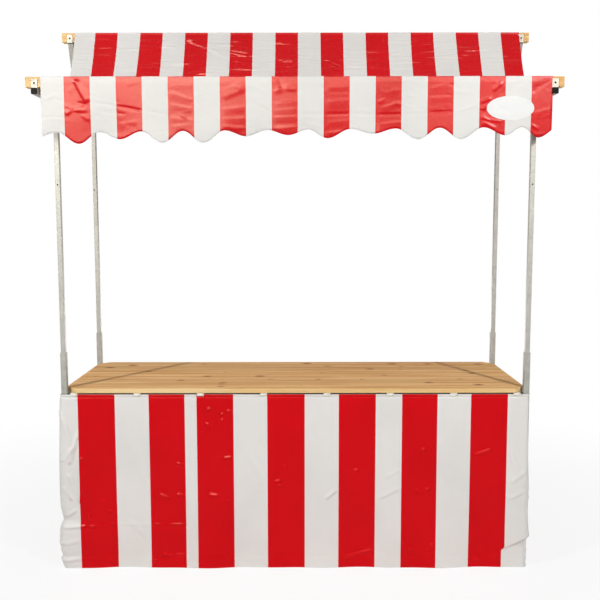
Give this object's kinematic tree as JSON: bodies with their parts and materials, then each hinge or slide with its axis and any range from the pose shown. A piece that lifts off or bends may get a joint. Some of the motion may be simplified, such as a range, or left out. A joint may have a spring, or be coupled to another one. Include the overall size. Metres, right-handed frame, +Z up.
{
  "type": "market stall with a cloth roof",
  "caption": "Market stall with a pine counter on a galvanised square tube frame, a sagging striped cloth roof with a scalloped valance, and a striped cloth skirt round the base.",
  "frame": {"origin": "middle of the floor rectangle under the stall, between the ends of its roof side rails", "axes": "+Z up, +X along the counter to the customer's right, -Y towards the customer"},
  "size_m": [2.199, 0.6984, 2.4073],
  "materials": {
    "galvanised_steel": "hot-dip galvanised, dull grey",
    "black_plastic": "moulded, matt",
    "pine": "planed, clear oiled",
    "striped_cloth": "coated cloth, red and white stripes, satin",
    "webbing": "woven, matt"
  },
  "bodies": {
    "root": {"left_front_leg": "galvanised_steel", "right_front_leg": "galvanised_steel", "left_rear_leg": "galvanised_steel", "right_rear_leg": "galvanised_steel", "foot_plugs": "black_plastic", "left_side_rail": "galvanised_steel", "right_side_rail": "galvanised_steel", "left_foot_rail": "galvanised_steel", "right_foot_rail": "galvanised_steel", "rail_spigots": "galvanised_steel", "front_rail": "galvanised_steel", "rear_rail": "galvanised_steel", "counter": "pine", "left_front_post": "galvanised_steel", "right_front_post": "galvanised_steel", "left_rear_post": "galvanised_steel", "right_rear_post": "galvanised_steel", "left_front_head": "galvanised_steel", "right_front_head": "galvanised_steel", "left_rear_head": "galvanised_steel", "right_rear_head": "galvanised_steel", "left_roof_rail": "galvanised_steel", "right_roof_rail": "galvanised_steel", "left_riser": "galvanised_steel", "right_riser": "galvanised_steel", "roof_rail_plugs": "black_plastic", "left_front_cradle": "galvanised_steel", "right_front_cradle": "galvanised_steel", "left_rear_cradle": "galvanised_steel", "right_rear_cradle": "galvanised_steel", "front_beam": "pine", "rear_beam": "pine", "roof_cloth": "striped_cloth", "front_valance": "striped_cloth", "front_skirt": "striped_cloth", "left_skirt": "striped_cloth", "right_skirt": "striped_cloth", "skirt_loops": "webbing", "skirt_ties": "webbing"}
  },
  "joints": []
}
